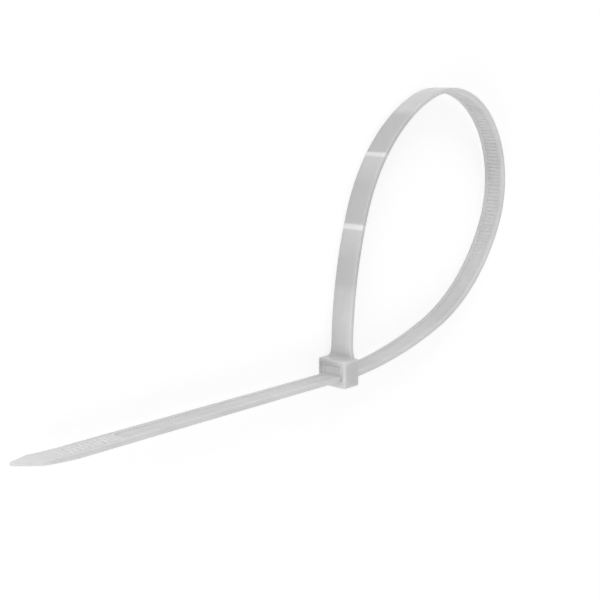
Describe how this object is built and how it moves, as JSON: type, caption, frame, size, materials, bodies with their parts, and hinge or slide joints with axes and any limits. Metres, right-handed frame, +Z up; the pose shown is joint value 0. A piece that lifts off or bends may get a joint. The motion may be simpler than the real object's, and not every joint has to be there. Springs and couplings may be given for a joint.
{
  "type": "cable tie",
  "caption": "Self-locking nylon cable tie, closed into a wide pear-shaped loop with its straight tail passed through the ratchet head, lying on its side.",
  "frame": {"origin": "centre of the head's lower side face, on the surface that the tie lies on", "axes": "+X from the tail's tip through the head to the far side of the loop, +Y from the head up the strap's root, +Z up, across the width of the strap"},
  "size_m": [0.2031, 0.0895, 0.0107],
  "materials": {
    "nylon": "natural uncoloured nylon, milky and slightly translucent, satin gloss on the smooth face"
  },
  "bodies": {
    "root": {"cable_tie": "nylon"}
  },
  "joints": []
}
